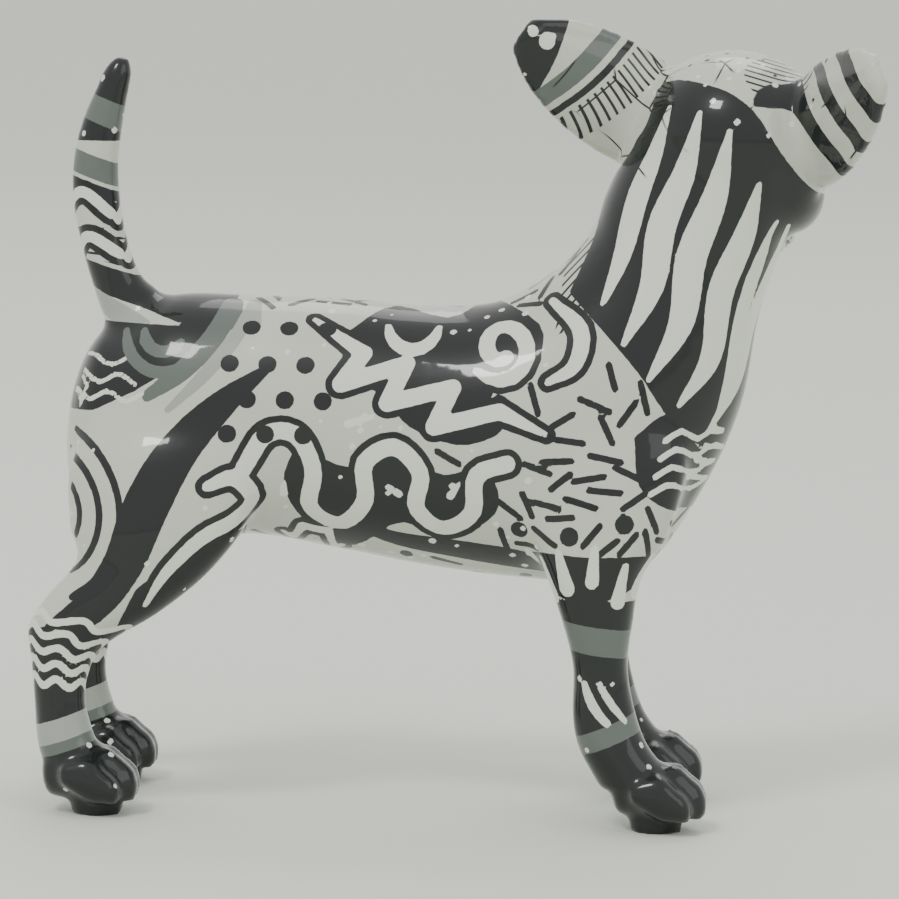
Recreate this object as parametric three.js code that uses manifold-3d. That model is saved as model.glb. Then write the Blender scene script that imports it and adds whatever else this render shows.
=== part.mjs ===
// A cast resin dog ornament: a small smooth-coated dog that stands on four padded paws with its tail
// up and its head turned over its left shoulder. The whole figure is one casting.
// Millimetres, +X towards the dog's chest, +Y its left side, +Z up, standing on z = 0.
import * as THREE from 'three';
import { mergeVertices } from 'three/addons/utils/BufferGeometryUtils.js';
import Module from 'manifold-3d';

// Driving dimensions
const figureHeight = 187;      // floor to the top of the ears
const drawnHeight = 187;       // the height at which the outline stations below were taken
const stanceHalf = 21;         // middle of the body to the middle of a paw
const leftSetBack = 1.5;       // how far the left paws stand behind the right ones
const padHeight = 3;           // flat-bottomed pad under each paw
const padRoot = 4;             // how far the pad runs up inside the paw
const padLength = 13;
const padWidth = 11.5;
const toeWidth = 6.4;
const toePitch = 4.5;          // from one toe's middle to the next
const earLength = 40;          // root to tip
const earThickness = 3.6;
const earCup = 6;              // how far the ear's middle lies behind its rims
const eyeRadius = 5.6;
const noseWidth = 8.8;
const headYaw = 70;            // degrees to the dog's left
const headRoll = 4;            // degrees, left ear up
const facePitch = 25;          // degrees that the muzzle points down

const toRadians = THREE.MathUtils.degToRad;
const unit = figureHeight / drawnHeight;
const point = (x, y, z) => new THREE.Vector3(x, y, z);

// One cross-section of a limb that runs in an upright plane: two points of its side outline, as [x, z],
// the distance of its middle from the body's middle plane, and its half width.
function section(outlineA, outlineB, y, half) {
  const a = point(outlineA[0], y, outlineA[1]).multiplyScalar(unit);
  const b = point(outlineB[0], y, outlineB[1]).multiplyScalar(unit);
  return {
    centre: a.clone().add(b).multiplyScalar(0.5),
    across: b.clone().sub(a).multiplyScalar(0.5),
    deep: point(0, half * unit, 0),
    bend: point(0, 0, 0),
  };
}

// A closed limb: a sphere drawn out along its sections, with a dome at each end.
// A rim below 1 gives a flat limb thick rounded edges.
function limb(sections, { sides, rings, startDome, endDome, domeRings = 2, rim = 1 }) {
  const track = (key) => new THREE.CatmullRomCurve3(sections.map((s) => s[key]), false, 'catmullrom', 0.5);
  const [centre, across, deep, bend] = ['centre', 'across', 'deep', 'bend'].map(track);
  const total = rings + 2 * domeRings;
  const geometry = new THREE.SphereGeometry(1, sides, total);
  const places = geometry.getAttribute('position');
  const v = new THREE.Vector3();
  const nearEnd = 0.01;
  const outward = [
    centre.getPoint(0).sub(centre.getPoint(nearEnd)).setLength(startDome * unit),
    centre.getPoint(1).sub(centre.getPoint(1 - nearEnd)).setLength(endDome * unit),
  ];
  for (let i = 0; i < places.count; i++) {
    v.fromBufferAttribute(places, i);
    const ring = Math.round((Math.acos(THREE.MathUtils.clamp(v.y, -1, 1)) / Math.PI) * total);
    const turn = (Math.round((Math.atan2(v.z, v.x) / (2 * Math.PI)) * sides) / sides) * 2 * Math.PI;
    const t = THREE.MathUtils.clamp((ring - domeRings) / rings, 0, 1);
    const intoDome = Math.max(domeRings - ring, ring - domeRings - rings, 0) / domeRings;
    const size = Math.cos((intoDome * Math.PI) / 2);
    const end = ring < domeRings ? 0 : 1;
    const c = Math.cos(turn) * size;
    const s = Math.sign(Math.sin(turn)) * Math.abs(Math.sin(turn)) ** rim * size;
    v.copy(centre.getPoint(t))
      .addScaledVector(across.getPoint(t), c)
      .addScaledVector(deep.getPoint(t), s)
      .addScaledVector(bend.getPoint(t), c * c)
      .addScaledVector(outward[end], Math.sin((intoDome * Math.PI) / 2));
    places.setXYZ(i, v.x, v.y, v.z);
  }
  return geometry;
}

// Carries a leg's x to where that leg stands: the paw moves by the whole set-back and the top not at all.
function placed(geometry, side) {
  const places = geometry.getAttribute('position');
  const legTop = 75 * unit;
  for (let i = 0; side > 0 && i < places.count; i++) {
    const share = THREE.MathUtils.clamp((legTop - places.getZ(i)) / (legTop / 2), 0, 1);
    places.setX(i, places.getX(i) - leftSetBack * share);
  }
  return geometry;
}

// A ball stretched to the given half sizes, in the figure's drawn millimetres.
function ball(at, halfSizes, sides = 16, rings = 10) {
  return new THREE.SphereGeometry(1, sides, rings)
    .rotateX(Math.PI / 2)
    .scale(...halfSizes.map((h) => h * unit))
    .translate(...at.map((p) => p * unit));
}

// The body from rump to the top of the neck: top and under points of its side outline, half width.
function trunk() {
  const outline = [
    [[-79, 113], [-82, 65], 17],
    [[-66, 120], [-66, 61], 21.5],
    [[-45, 120.4], [-46, 64], 22],
    [[-25, 120.2], [-26, 61.3], 22.5],
    [[-6, 119], [-5, 57.8], 24],
    [[9, 120], [16, 55.6], 25.5],
    [[19, 124.5], [34, 55.2], 26],
    [[27, 131], [48, 60], 25.5],
    [[32.5, 138.5], [60.5, 79], 23],
    [[35.5, 146.5], [68.3, 98], 20],
    [[39, 154], [71.8, 119], 17.8],
    [[44.5, 162], [77, 136], 17.6],
    [[52, 170], [80, 148], 17.5],
  ];
  const sections = outline.map(([top, under, half]) => section(top, under, 0, half));
  return limb(sections, { sides: 24, rings: 26, startDome: 10, endDome: 8 });
}

function tail() {
  const outline = [
    [[-78, 106], [-62, 112], 8],
    [[-82.3, 114.8], [-69, 120.4], 6.6],
    [[-84.6, 121], [-73.6, 124.6], 5.6],
    [[-87.6, 131], [-76.8, 132.4], 5.2],
    [[-89.8, 142], [-78.7, 142], 5],
    [[-89.7, 152], [-79.2, 151.4], 4.8],
    [[-87.6, 161], [-78.2, 160.6], 4.3],
    [[-84, 169.6], [-76.9, 168.6], 3.4],
  ];
  const sections = outline.map(([back, front, half]) => section(back, front, 0, half));
  return limb(sections, { sides: 12, rings: 12, startDome: 4, endDome: 7 });
}

// side is 1 on the dog's left and -1 on its right. The y values are shares of the stance.
function hindLeg(side) {
  const outline = [
    [[-79, 97], [-46, 103], 0.56, 5.5],
    [[-87, 82], [-41, 86], 0.76, 10],
    [[-87, 68], [-44.6, 70.6], 0.88, 10],
    [[-85, 59.5], [-53.6, 57.8], 0.95, 8.4],
    [[-92, 50.5], [-65.5, 47.6], 1, 6.8],
    [[-96, 43.6], [-78.2, 39.4], 1, 5.6],
    [[-95.2, 34.5], [-82, 32.5], 1, 5.1],
    [[-94.4, 25], [-82.4, 25], 1, 5.3],
    [[-93.6, 16], [-79.5, 15.5], 1, 6.2],
    [[-91, 8.5], [-77, 9.5], 1, 6.8],
  ];
  const sections = outline.map(([back, front, share, half]) =>
    section(back, front, (side * share * stanceHalf) / unit, half));
  return limb(sections, { sides: 14, rings: 16, startDome: 7, endDome: 4 });
}

function frontLeg(side) {
  const outline = [
    [[14, 101], [47, 108], 0.6, 6.5],
    [[15, 86], [56, 90], 0.8, 9.8],
    [[19, 71], [53, 71], 0.9, 9.6],
    [[24, 60], [46.5, 59], 0.97, 8.2],
    [[28.4, 48], [44.6, 48], 1, 6.8],
    [[31, 38], [43.7, 38.5], 1, 6],
    [[31.2, 27], [45.3, 29], 1, 6.1],
    [[32.8, 19], [48.4, 20.5], 1, 6.8],
    [[37.5, 10.5], [53.5, 14], 1, 7.2],
  ];
  const sections = outline.map(([back, front, share, half]) =>
    section(back, front, (side * share * stanceHalf) / unit, half));
  return limb(sections, { sides: 14, rings: 14, startDome: 7, endDome: 4 });
}

// The pieces of one paw: its core, the pad that it stands on and four toes. place holds the x of the heel,
// of the pad's middle and of the tips of the middle toes.
function paw({ heel, pad, tip }, side) {
  const y = (side * stanceHalf) / unit;
  const sole = padHeight / unit;
  const core = limb(
    [
      section([heel + 3.2, 15], [heel + 4, sole + 0.6], y, 5.6),
      section([pad - 4.5, 16], [pad - 4.5, sole], y, 7.8),
      section([pad + 1, 16], [pad + 1, sole], y, 8.4),
      section([tip - 7.5, 12], [tip - 7.5, sole + 0.4], y, 7.6),
    ],
    { sides: 12, rings: 5, startDome: 2.6, endDome: 3 },
  );
  const foot = new THREE.CylinderGeometry(0.5, 0.46, 1, 18)
    .rotateX(Math.PI / 2)
    .scale(padLength, padWidth, padHeight + padRoot)
    .translate(pad * unit, side * stanceHalf, (padHeight + padRoot) / 2);
  return [core, foot, ...[-1.5, -0.5, 0.5, 1.5].map((n) => toe(tip, y, n, sole))];
}

// One toe. n counts toes from the paw's middle, so the outer two are at -1.5 and 1.5.
function toe(tip, pawY, n, sole) {
  const outer = Math.abs(n) > 1;
  const half = toeWidth / 2 / unit;
  const end = tip - (outer ? 3.4 : 0) - half;
  const drop = outer ? 1.8 : 0;
  const y = pawY + n * toePitch;
  const sections = [
    section([end - 10, 14.5 - drop], [end - 10, 7], y, half * 0.8),
    section([end - 4.6, 15.8 - drop], [end - 4.4, sole + 0.6], y, half),
    section([end, 12.4 - drop], [end, sole + 0.3], y, half),
  ];
  return limb(sections, { sides: 10, rings: 5, startDome: 1.5, endDome: half });
}

// Skull, cheeks, muzzle, nose and eyes, with x forward, y to the head's left and z up from the skull's middle.
function face() {
  const muzzle = limb(
    [
      section([12, 1], [9, -19], 0, 13.5),
      section([19, -2], [17, -19.5], 0, 11.4),
      section([26, -4.6], [25, -18.8], 0, 9.8),
      section([32, -5.6], [31.5, -17.6], 0, 8.8),
      section([35.6, -7.2], [35.2, -16], 0, 7),
    ],
    { sides: 14, rings: 7, startDome: 4, endDome: 2.2 },
  );
  const nose = ball([36.2, 0, -8], [2.8, noseWidth / 2 / unit, 2.8], 10, 6);
  const eyes = [-1, 1].map((side) => ball([16.4, side * 11.6, -1.2], Array(3).fill(eyeRadius / unit), 12, 8));
  const cheeks = [-1, 1].map((side) => ball([6, side * 12.5, -9.5], [13.5, 9.5, 10], 10, 7));
  return [muzzle, nose, ...eyes, ...cheeks].map((g) => g.rotateY(toRadians(facePitch)));
}

// An ear in the frame of the skull: a cupped leaf that opens forward and outward.
function ear(side) {
  const along = point(-0.59, 0.68 * side, 0.49).normalize();
  const opening = point(0.8, 0.52 * side, 0.1);
  opening.addScaledVector(along, -opening.dot(along)).normalize();
  const width = new THREE.Vector3().crossVectors(along, opening);
  const root = point(-5, 18.6 * side, 1.6);
  const leaf = [[-0.12, 11.5], [0.12, 12.8], [0.36, 12.6], [0.6, 11], [0.79, 8.4], [0.92, 5.2]];
  const sections = leaf.map(([share, half]) => ({
    centre: root.clone().addScaledVector(along, (share * earLength) / unit).addScaledVector(opening, (-earCup / 2) / unit).multiplyScalar(unit),
    across: width.clone().multiplyScalar(half * unit),
    deep: opening.clone().multiplyScalar(earThickness * (0.55 - 0.15 * share)),
    bend: opening.clone().multiplyScalar(earCup * (1.1 - 0.8 * share)),
  }));
  return limb(sections, { sides: 16, rings: 9, startDome: 1, endDome: (0.07 * earLength) / unit, rim: 0.5 });
}

function head() {
  const skull = ball([0, 0, 0], [22.5, 22.5, 20], 22, 12);
  const skullMiddle = [65, 3, 160];
  return [skull, ...face(), ear(-1), ear(1)].map((g) =>
    g.rotateX(toRadians(headRoll)).rotateZ(toRadians(headYaw)).translate(...skullMiddle.map((p) => p * unit)));
}

// Joining
const wasm = await Module();
wasm.setup();

function solidFrom(geometry) {
  geometry.deleteAttribute('normal');
  geometry.deleteAttribute('uv');
  const merged = mergeVertices(geometry, 1e-4);
  const places = merged.getAttribute('position').array;
  const corners = Array.from(merged.index.array);
  const faces = [];
  for (let i = 0; i < corners.length; i += 3) {
    const [a, b, c] = corners.slice(i, i + 3);
    if (a !== b && b !== c && c !== a) faces.push([a, b, c]);
  }
  const at = (i) => point(places[3 * i], places[3 * i + 1], places[3 * i + 2]);
  const volume = faces.reduce((sum, [a, b, c]) => sum + at(a).dot(at(b).cross(at(c))), 0);
  if (volume < 0) faces.forEach((f) => f.reverse());
  return new wasm.Manifold(
    new wasm.Mesh({ numProp: 3, vertProperties: places, triVerts: new Uint32Array(faces.flat()) }),
  );
}

function join(geometries) {
  const whole = geometries.map(solidFrom).reduce((sum, next) => sum.add(next));
  const mesh = whole.getMesh();
  const geometry = new THREE.BufferGeometry();
  geometry.setAttribute('position', new THREE.Float32BufferAttribute(mesh.vertProperties, mesh.numProp));
  geometry.setIndex(new THREE.Uint32BufferAttribute(mesh.triVerts, 1));
  return geometry;
}

const sides = [-1, 1];
const frontPaw = { heel: 39.5, pad: 51, tip: 63 };
const hindPaw = { heel: -93.5, pad: -79.6, tip: -69.5 };
const casting = join([
  trunk(),
  tail(),
  ...sides.flatMap((side) =>
    [hindLeg(side), frontLeg(side), ...paw(frontPaw, side), ...paw(hindPaw, side)].map((g) => placed(g, side))),
  ...head(),
]);

// The origin is the middle of the figure's footprint box, on the floor.
casting.computeBoundingBox();
const middle = casting.boundingBox.getCenter(new THREE.Vector3());
casting.translate(-middle.x, -middle.y, 0);
casting.computeVertexNormals();

const resin = new THREE.MeshStandardMaterial({ color: 0xc9cdc6, roughness: 0.25, metalness: 0 });
const dog = new THREE.Mesh(casting, resin);
dog.name = 'dog';
const figurine = new THREE.Group();
figurine.add(dog);
export default figurine;
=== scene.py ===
import bpy
import bmesh
import math
import random
import numpy as np
from mathutils import Matrix, Vector
from mathutils.bvhtree import BVHTree


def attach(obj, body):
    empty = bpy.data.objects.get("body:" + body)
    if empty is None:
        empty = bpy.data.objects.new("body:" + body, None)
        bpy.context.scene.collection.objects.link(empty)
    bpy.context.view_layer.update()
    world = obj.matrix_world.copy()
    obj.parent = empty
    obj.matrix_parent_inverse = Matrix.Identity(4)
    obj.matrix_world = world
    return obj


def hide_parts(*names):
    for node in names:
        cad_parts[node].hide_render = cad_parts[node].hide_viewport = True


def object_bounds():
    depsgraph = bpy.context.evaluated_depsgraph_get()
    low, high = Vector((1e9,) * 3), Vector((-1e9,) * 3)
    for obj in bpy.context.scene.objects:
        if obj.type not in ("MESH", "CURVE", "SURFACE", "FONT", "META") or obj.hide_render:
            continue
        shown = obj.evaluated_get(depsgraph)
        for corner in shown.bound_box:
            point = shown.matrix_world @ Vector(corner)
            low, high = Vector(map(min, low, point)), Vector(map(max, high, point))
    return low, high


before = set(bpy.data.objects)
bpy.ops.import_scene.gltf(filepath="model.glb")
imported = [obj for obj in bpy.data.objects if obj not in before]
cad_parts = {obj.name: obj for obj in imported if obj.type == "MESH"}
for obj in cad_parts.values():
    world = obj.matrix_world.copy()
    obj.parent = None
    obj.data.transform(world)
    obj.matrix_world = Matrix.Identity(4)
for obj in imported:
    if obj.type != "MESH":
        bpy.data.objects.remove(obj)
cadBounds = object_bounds()
mm = 0.001
right, left = -1, 1         # the sign of y on each side of the dog

# The figure is drawn in millimetres with its paws' middle lines at y = -21 and 21. Its drawing's
# origin lies at this place in the part's own frame.
dogBody = {
    "drawingAt": (-0.784, 3.369),
    "stanceHalf": 21.0,
    "leftSetBack": 1.5,
    "legTop": 75.0,
    "padHeight": 3.0,
    "padRoot": 4.0,
    "padSize": (13.0, 11.5),
    "toeWidth": 6.4,
    "toePitch": 4.5,
    "voxel": 0.93,
    "shrink": 0.5,          # share of the way to the neighbours' mean in a round of smoothing
    "swellBack": 1.04,      # swelling against shrinking in a round
    "stepRounds": 6,        # of smoothing, for the voxel steps
    "fillRounds": 90,       # of filling creases
    "fillAmount": 0.9,
    "seamRounds": 10,       # the first of them also soften the seams of ears, face and paws
    "seamAmount": 0.25,
    "earRounds": 30,
    "pawTop": (20.0, 14.0), # the filling fades out between these heights
    # outline point above or behind, outline point below or in front, share of the stance, half width
    "trunk": [
        ((-79, 113), (-82, 65), 0, 17), ((-66, 120), (-66, 61), 0, 21.5), ((-45, 120.4), (-46, 64), 0, 22),
        ((-25, 120.2), (-26, 61.3), 0, 22.5), ((-6, 119), (-5, 57.8), 0, 24), ((9, 120), (16, 55.6), 0, 25.5),
        ((19, 124.5), (34, 55.2), 0, 26), ((27, 131), (48, 60), 0, 25.5), ((32.5, 138.5), (60.5, 79), 0, 23),
        ((35.5, 146.5), (68.3, 98), 0, 20), ((39, 154), (71.8, 119), 0, 17.8),
        ((44.5, 162), (77, 136), 0, 17.6), ((52, 170), (80, 148), 0, 17.5)],
    "tail": [
        ((-78, 106), (-62, 112), 0, 8), ((-82.3, 114.8), (-69, 120.4), 0, 6.6),
        ((-84.6, 121), (-73.6, 124.6), 0, 5.6), ((-87.6, 131), (-76.8, 132.4), 0, 5.2),
        ((-89.8, 142), (-78.7, 142), 0, 5), ((-89.7, 152), (-79.2, 151.4), 0, 4.8),
        ((-87.6, 161), (-78.2, 160.6), 0, 4.3), ((-84, 169.6), (-76.9, 168.6), 0, 3.4)],
    "hindLeg": [
        ((-79, 97), (-46, 103), 0.56, 5.5), ((-87, 82), (-41, 86), 0.76, 10),
        ((-87, 68), (-44.6, 70.6), 0.88, 10), ((-85, 59.5), (-53.6, 57.8), 0.95, 8.4),
        ((-92, 50.5), (-65.5, 47.6), 1, 6.8), ((-96, 43.6), (-78.2, 39.4), 1, 5.6),
        ((-95.2, 34.5), (-82, 32.5), 1, 5.1), ((-94.4, 25), (-82.4, 25), 1, 5.3),
        ((-93.6, 16), (-79.5, 15.5), 1, 6.2), ((-91, 8.5), (-77, 9.5), 1, 6.8)],
    "frontLeg": [
        ((14, 101), (47, 108), 0.6, 6.5), ((15, 86), (56, 90), 0.8, 9.8), ((19, 71), (53, 71), 0.9, 9.6),
        ((24, 60), (46.5, 59), 0.97, 8.2), ((28.4, 48), (44.6, 48), 1, 6.8), ((31, 38), (43.7, 38.5), 1, 6),
        ((31.2, 27), (45.3, 29), 1, 6.1), ((32.8, 19), (48.4, 20.5), 1, 6.8),
        ((37.5, 10.5), (53.5, 14), 1, 7.2)],
    "frontPaw": (39.5, 51.0, 63.0),     # x of the heel, the pad's middle and the tips of the middle toes
    "hindPaw": (-93.5, -79.6, -69.5),
}
dogHead = {
    "middle": (65.0, 3.0, 160.0),
    "yaw": 70.0,
    "roll": 4.0,
    "pitch": 25.0,
    "skull": (22.5, 22.5, 20.0),
    "muzzle": [
        ((12, 1), (9, -19), 0, 13.5), ((19, -2), (17, -19.5), 0, 11.4), ((26, -4.6), (25, -18.8), 0, 9.8),
        ((32, -5.6), (31.5, -17.6), 0, 8.8), ((35.6, -7.2), (35.2, -16), 0, 7)],
    "nose": ((36.2, 0, -8), (2.8, 4.4, 2.8)),
    "eye": ((16.4, 11.6, -1.2), 5.6),
    "cheek": ((6, 12.5, -9.5), (13.5, 9.5, 10)),
    "earLength": 40.0,
    "earThickness": 3.6,
    "earDome": 0.07,        # share of the ear's length beyond its last row
    "rimRadius": 1.75,
    "rimProud": 0.3,        # how far the rim stands past the leaf
    "earCup": 6.0,
    "earLeaf": [(-0.12, 11.5), (0.12, 12.8), (0.36, 12.6), (0.6, 11), (0.79, 8.4), (0.92, 5.2)],
    "earAlong": (-0.59, 0.68, 0.49),
    "earOpening": (0.8, 0.52, 0.1),
    "earRoot": (-5, 18.6, 1.6),
}


def curveAt(points, t):
    # a smooth line through the points, with t from 0 to 1 shared evenly between them
    points = np.asarray(points, float)
    t = np.clip(np.atleast_1d(np.asarray(t, float)), 0, 1) * (len(points) - 1)
    i = np.minimum(t.astype(int), len(points) - 2)
    w = (t - i)[:, None]
    ends = np.vstack([2 * points[0] - points[1], points, 2 * points[-1] - points[-2]])
    before, a, b, after = ends[i], ends[i + 1], ends[i + 2], ends[i + 3]
    slopeA, slopeB = (b - before) / 2, (after - a) / 2
    square, cube = 3 * (b - a) - 2 * slopeA - slopeB, 2 * (a - b) + slopeA + slopeB
    return a + slopeA * w + square * w ** 2 + cube * w ** 3


def sectionsOf(rows, y):
    # middle, reach across and half width of each row of an outline
    out = []
    for a, b, share, half in rows:
        a3, b3 = np.array((a[0], y(share), a[1])), np.array((b[0], y(share), b[1]))
        out.append(((a3 + b3) / 2, (b3 - a3) / 2, np.array((0, half, 0)), np.zeros(3)))
    return [np.array(column) for column in zip(*out)]


def coordsOf(bm):
    return np.array([v.co[:] for v in bm.verts])


def putCoords(bm, coords):
    for v, co in zip(bm.verts, coords):
        v.co = co


def limb(tracks, sides, rings, startDome, endDome, domeRings=6, rim=1):
    # a ball drawn out along its sections, with a dome at each end
    bm = bmesh.new()
    total = rings + 2 * domeRings
    bmesh.ops.create_uvsphere(bm, u_segments=sides, v_segments=total, radius=1)
    p = coordsOf(bm)
    centre, across, deep, bend = tracks
    ring = np.round(np.arccos(np.clip(p[:, 2], -1, 1)) / math.pi * total)
    turn = np.arctan2(p[:, 1], p[:, 0])
    t = np.clip((ring - domeRings) / rings, 0, 1)
    into = np.maximum(np.maximum(domeRings - ring, ring - domeRings - rings), 0) / domeRings * math.pi / 2
    size = np.cos(into)[:, None]
    c = np.cos(turn)[:, None] * size
    s = (np.sign(np.sin(turn)) * np.abs(np.sin(turn)) ** rim)[:, None] * size
    outStart = curveAt(centre, 0)[0] - curveAt(centre, 0.01)[0]
    outEnd = curveAt(centre, 1)[0] - curveAt(centre, 0.99)[0]
    outStart *= startDome / np.linalg.norm(outStart)
    outEnd *= endDome / np.linalg.norm(outEnd)
    outward = np.where((ring < domeRings)[:, None], outStart, outEnd)
    putCoords(bm, curveAt(centre, t) + curveAt(across, t) * c + curveAt(deep, t) * s
              + curveAt(bend, t) * c * c + outward * np.sin(into)[:, None])
    return bm


def ball(at, halfSizes, sides=48, rings=32):
    bm = bmesh.new()
    bmesh.ops.create_uvsphere(bm, u_segments=sides, v_segments=rings, radius=1)
    bmesh.ops.scale(bm, vec=Vector(halfSizes), verts=bm.verts)
    bmesh.ops.translate(bm, vec=Vector(at), verts=bm.verts)
    return bm


def turned(bm, matrix):
    bmesh.ops.transform(bm, matrix=matrix, verts=bm.verts)
    return bm


def setBack(bm, side):
    # a left leg's paw stands a little behind the right one
    if side == left:
        p = coordsOf(bm)
        legTop = dogBody["legTop"]
        p[:, 0] -= dogBody["leftSetBack"] * np.clip((legTop - p[:, 2]) / (legTop / 2), 0, 1)
        putCoords(bm, p)
    return bm


def paw(place, side):
    heel, pad, tip = place
    y = side * dogBody["stanceHalf"]
    sole = dogBody["padHeight"]
    core = limb(sectionsOf([
        ((heel + 3.2, 15), (heel + 4, sole + 0.6), 0, 5.6), ((pad - 4.5, 16), (pad - 4.5, sole), 0, 7.8),
        ((pad + 1, 16), (pad + 1, sole), 0, 8.4), ((tip - 7.5, 12), (tip - 7.5, sole + 0.4), 0, 7.6)],
        lambda share: y), sides=48, rings=24, startDome=2.6, endDome=3)
    foot = bmesh.new()
    height = sole + dogBody["padRoot"]
    bmesh.ops.create_cone(foot, cap_ends=True, segments=64, radius1=0.46, radius2=0.5, depth=1)
    bmesh.ops.scale(foot, vec=Vector((*dogBody["padSize"], height)), verts=foot.verts)
    bmesh.ops.translate(foot, vec=Vector((pad, y, height / 2)), verts=foot.verts)
    parts = [core, foot]
    for n in (-1.5, -0.5, 0.5, 1.5):
        outer = abs(n) > 1
        half = dogBody["toeWidth"] / 2
        end = tip - (3.4 if outer else 0) - half
        drop = 1.8 if outer else 0
        toeY = y + n * dogBody["toePitch"]
        parts.append(limb(sectionsOf([
            ((end - 10, 14.5 - drop), (end - 10, 7), 0, half * 0.8),
            ((end - 4.6, 15.8 - drop), (end - 4.4, sole + 0.6), 0, half),
            ((end, 12.4 - drop), (end, sole + 0.3), 0, half)],
            lambda share: toeY), sides=28, rings=16, startDome=1.5, endDome=half))
    return parts


headTurn = Matrix.Translation(dogHead["middle"]) @ Matrix.Rotation(math.radians(dogHead["yaw"]), 4, "Z") \
    @ Matrix.Rotation(math.radians(dogHead["roll"]), 4, "X")
faceTurn = headTurn @ Matrix.Rotation(math.radians(dogHead["pitch"]), 4, "Y")


def earTracks(side):
    along = np.array(dogHead["earAlong"]) * (1, side, 1)
    along /= np.linalg.norm(along)
    opening = np.array(dogHead["earOpening"]) * (1, side, 1)
    opening -= along * opening.dot(along)
    opening /= np.linalg.norm(opening)
    width = np.cross(along, opening)
    root = np.array(dogHead["earRoot"]) * (1, side, 1)
    rows = []
    for share, half in dogHead["earLeaf"]:
        rows.append((root + along * share * dogHead["earLength"] - opening * dogHead["earCup"] / 2,
                     width * half,
                     opening * dogHead["earThickness"] * (0.55 - 0.15 * share),
                     opening * dogHead["earCup"] * (1.1 - 0.8 * share)))
    return [np.array(column) for column in zip(*rows)], opening


def earPiece(side):
    tracks, opening = earTracks(side)
    tip = dogHead["earDome"] * dogHead["earLength"]
    return turned(limb(tracks, sides=96, rings=44, startDome=1, endDome=tip, rim=0.5), headTurn)


def earRim(side):
    # the rolled edge, up one side of the leaf, round its tip and down the other
    (centre, across, deep, bend), opening = earTracks(side)
    radius = dogHead["rimRadius"]
    inside = radius - dogHead["rimProud"]
    along = (centre[-1] - centre[0]) / np.linalg.norm(centre[-1] - centre[0])
    path = []
    for way in (-1, 1):
        edge = []
        for t in np.linspace(0.1, 1, 9):
            wide = curveAt(across, t)[0]
            inset = 1 - inside / np.linalg.norm(wide)
            edge.append(curveAt(centre, t)[0] + wide * way * inset + curveAt(bend, t)[0] * inset ** 2)
        for into in (0.5, 1.0):
            reach = max(dogHead["earDome"] * dogHead["earLength"] - inside, 0)
            wide = across[-1] * math.cos(into) * (1 - inside / np.linalg.norm(across[-1]))
            fold = bend[-1] * math.cos(into) ** 2
            edge.append(centre[-1] + wide * way + fold + along * reach * math.sin(into))
        path += edge if way < 0 else edge[::-1]
    path = np.array(path)
    ahead = np.gradient(path, axis=0)
    sideways = np.cross(ahead, opening)
    sideways *= radius / np.linalg.norm(sideways, axis=1)[:, None]
    upward = np.cross(ahead, sideways)
    upward *= radius / np.linalg.norm(upward, axis=1)[:, None]
    rim = limb([path, sideways, upward, path * 0], sides=16, rings=160, startDome=radius, endDome=radius)
    return turned(rim, headTurn)


trunkTracks = sectionsOf(dogBody["trunk"], lambda share: 0)
tailTracks = sectionsOf(dogBody["tail"], lambda share: 0)
parts = [limb(trunkTracks, sides=150, rings=150, startDome=10, endDome=8, domeRings=14),
         limb(tailTracks, sides=48, rings=90, startDome=4, endDome=7)]
legTracks = {}
for side in (right, left):
    for name in ("hindLeg", "frontLeg"):
        tracks = sectionsOf(dogBody[name], lambda share: side * share * dogBody["stanceHalf"])
        legTracks[name, side] = tracks
        parts.append(setBack(limb(tracks, sides=72, rings=110, startDome=7, endDome=4), side))
    for place in (dogBody["frontPaw"], dogBody["hindPaw"]):
        parts += [setBack(piece, side) for piece in paw(place, side)]
parts.append(turned(ball((0, 0, 0), dogHead["skull"], sides=96, rings=64), headTurn))
muzzleTracks = sectionsOf(dogHead["muzzle"], lambda share: 0)
parts.append(turned(limb(muzzleTracks, sides=64, rings=40, startDome=4, endDome=2.2), faceTurn))
parts.append(turned(ball(*dogHead["nose"]), faceTurn))
for side in (right, left):
    for key in ("eye", "cheek"):
        at, size = dogHead[key]
        size = (size,) * 3 if key == "eye" else size
        parts.append(turned(ball((at[0], side * at[1], at[2]), size), faceTurn))
    parts += [earPiece(side), earRim(side)]

mesh = bpy.data.meshes.new("forms")
whole = bmesh.new()
for piece in parts:
    bmesh.ops.recalc_face_normals(piece, faces=piece.faces)
    part = bpy.data.meshes.new("part")
    piece.to_mesh(part)
    whole.from_mesh(part)
    bpy.data.meshes.remove(part)
    piece.free()
whole.to_mesh(mesh)
whole.free()
print("forms joined:", len(mesh.vertices))

dog = bpy.data.objects.new("castDog", mesh)
bpy.context.scene.collection.objects.link(dog)
remesh = dog.modifiers.new("cast", "REMESH")
remesh.mode = "VOXEL"
remesh.voxel_size = dogBody["voxel"]
depsgraph = bpy.context.evaluated_depsgraph_get()
cast = bpy.data.meshes.new_from_object(dog.evaluated_get(depsgraph))
dog.modifiers.clear()
dog.data = cast
bpy.data.meshes.remove(mesh)
print("cast:", len(cast.vertices), "points", sum(len(p.vertices) - 2 for p in cast.polygons), "triangles")

# Smoothing: the voxel steps go first, then the creases where the limbs meet are filled like wax.
count = len(cast.vertices)
coords = np.empty(count * 3)
cast.vertices.foreach_get("co", coords)
coords = coords.reshape(-1, 3)
ends = np.empty(len(cast.edges) * 2, int)
cast.edges.foreach_get("vertices", ends)
ends = ends.reshape(-1, 2)
fromPoint, toPoint = np.concatenate([ends[:, 0], ends[:, 1]]), np.concatenate([ends[:, 1], ends[:, 0]])
neighbours = np.bincount(fromPoint, minlength=count)[:, None]
corners = np.empty(len(cast.loops), int)
cast.loops.foreach_get("vertex_index", corners)
quads = corners.reshape(-1, 4)


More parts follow.
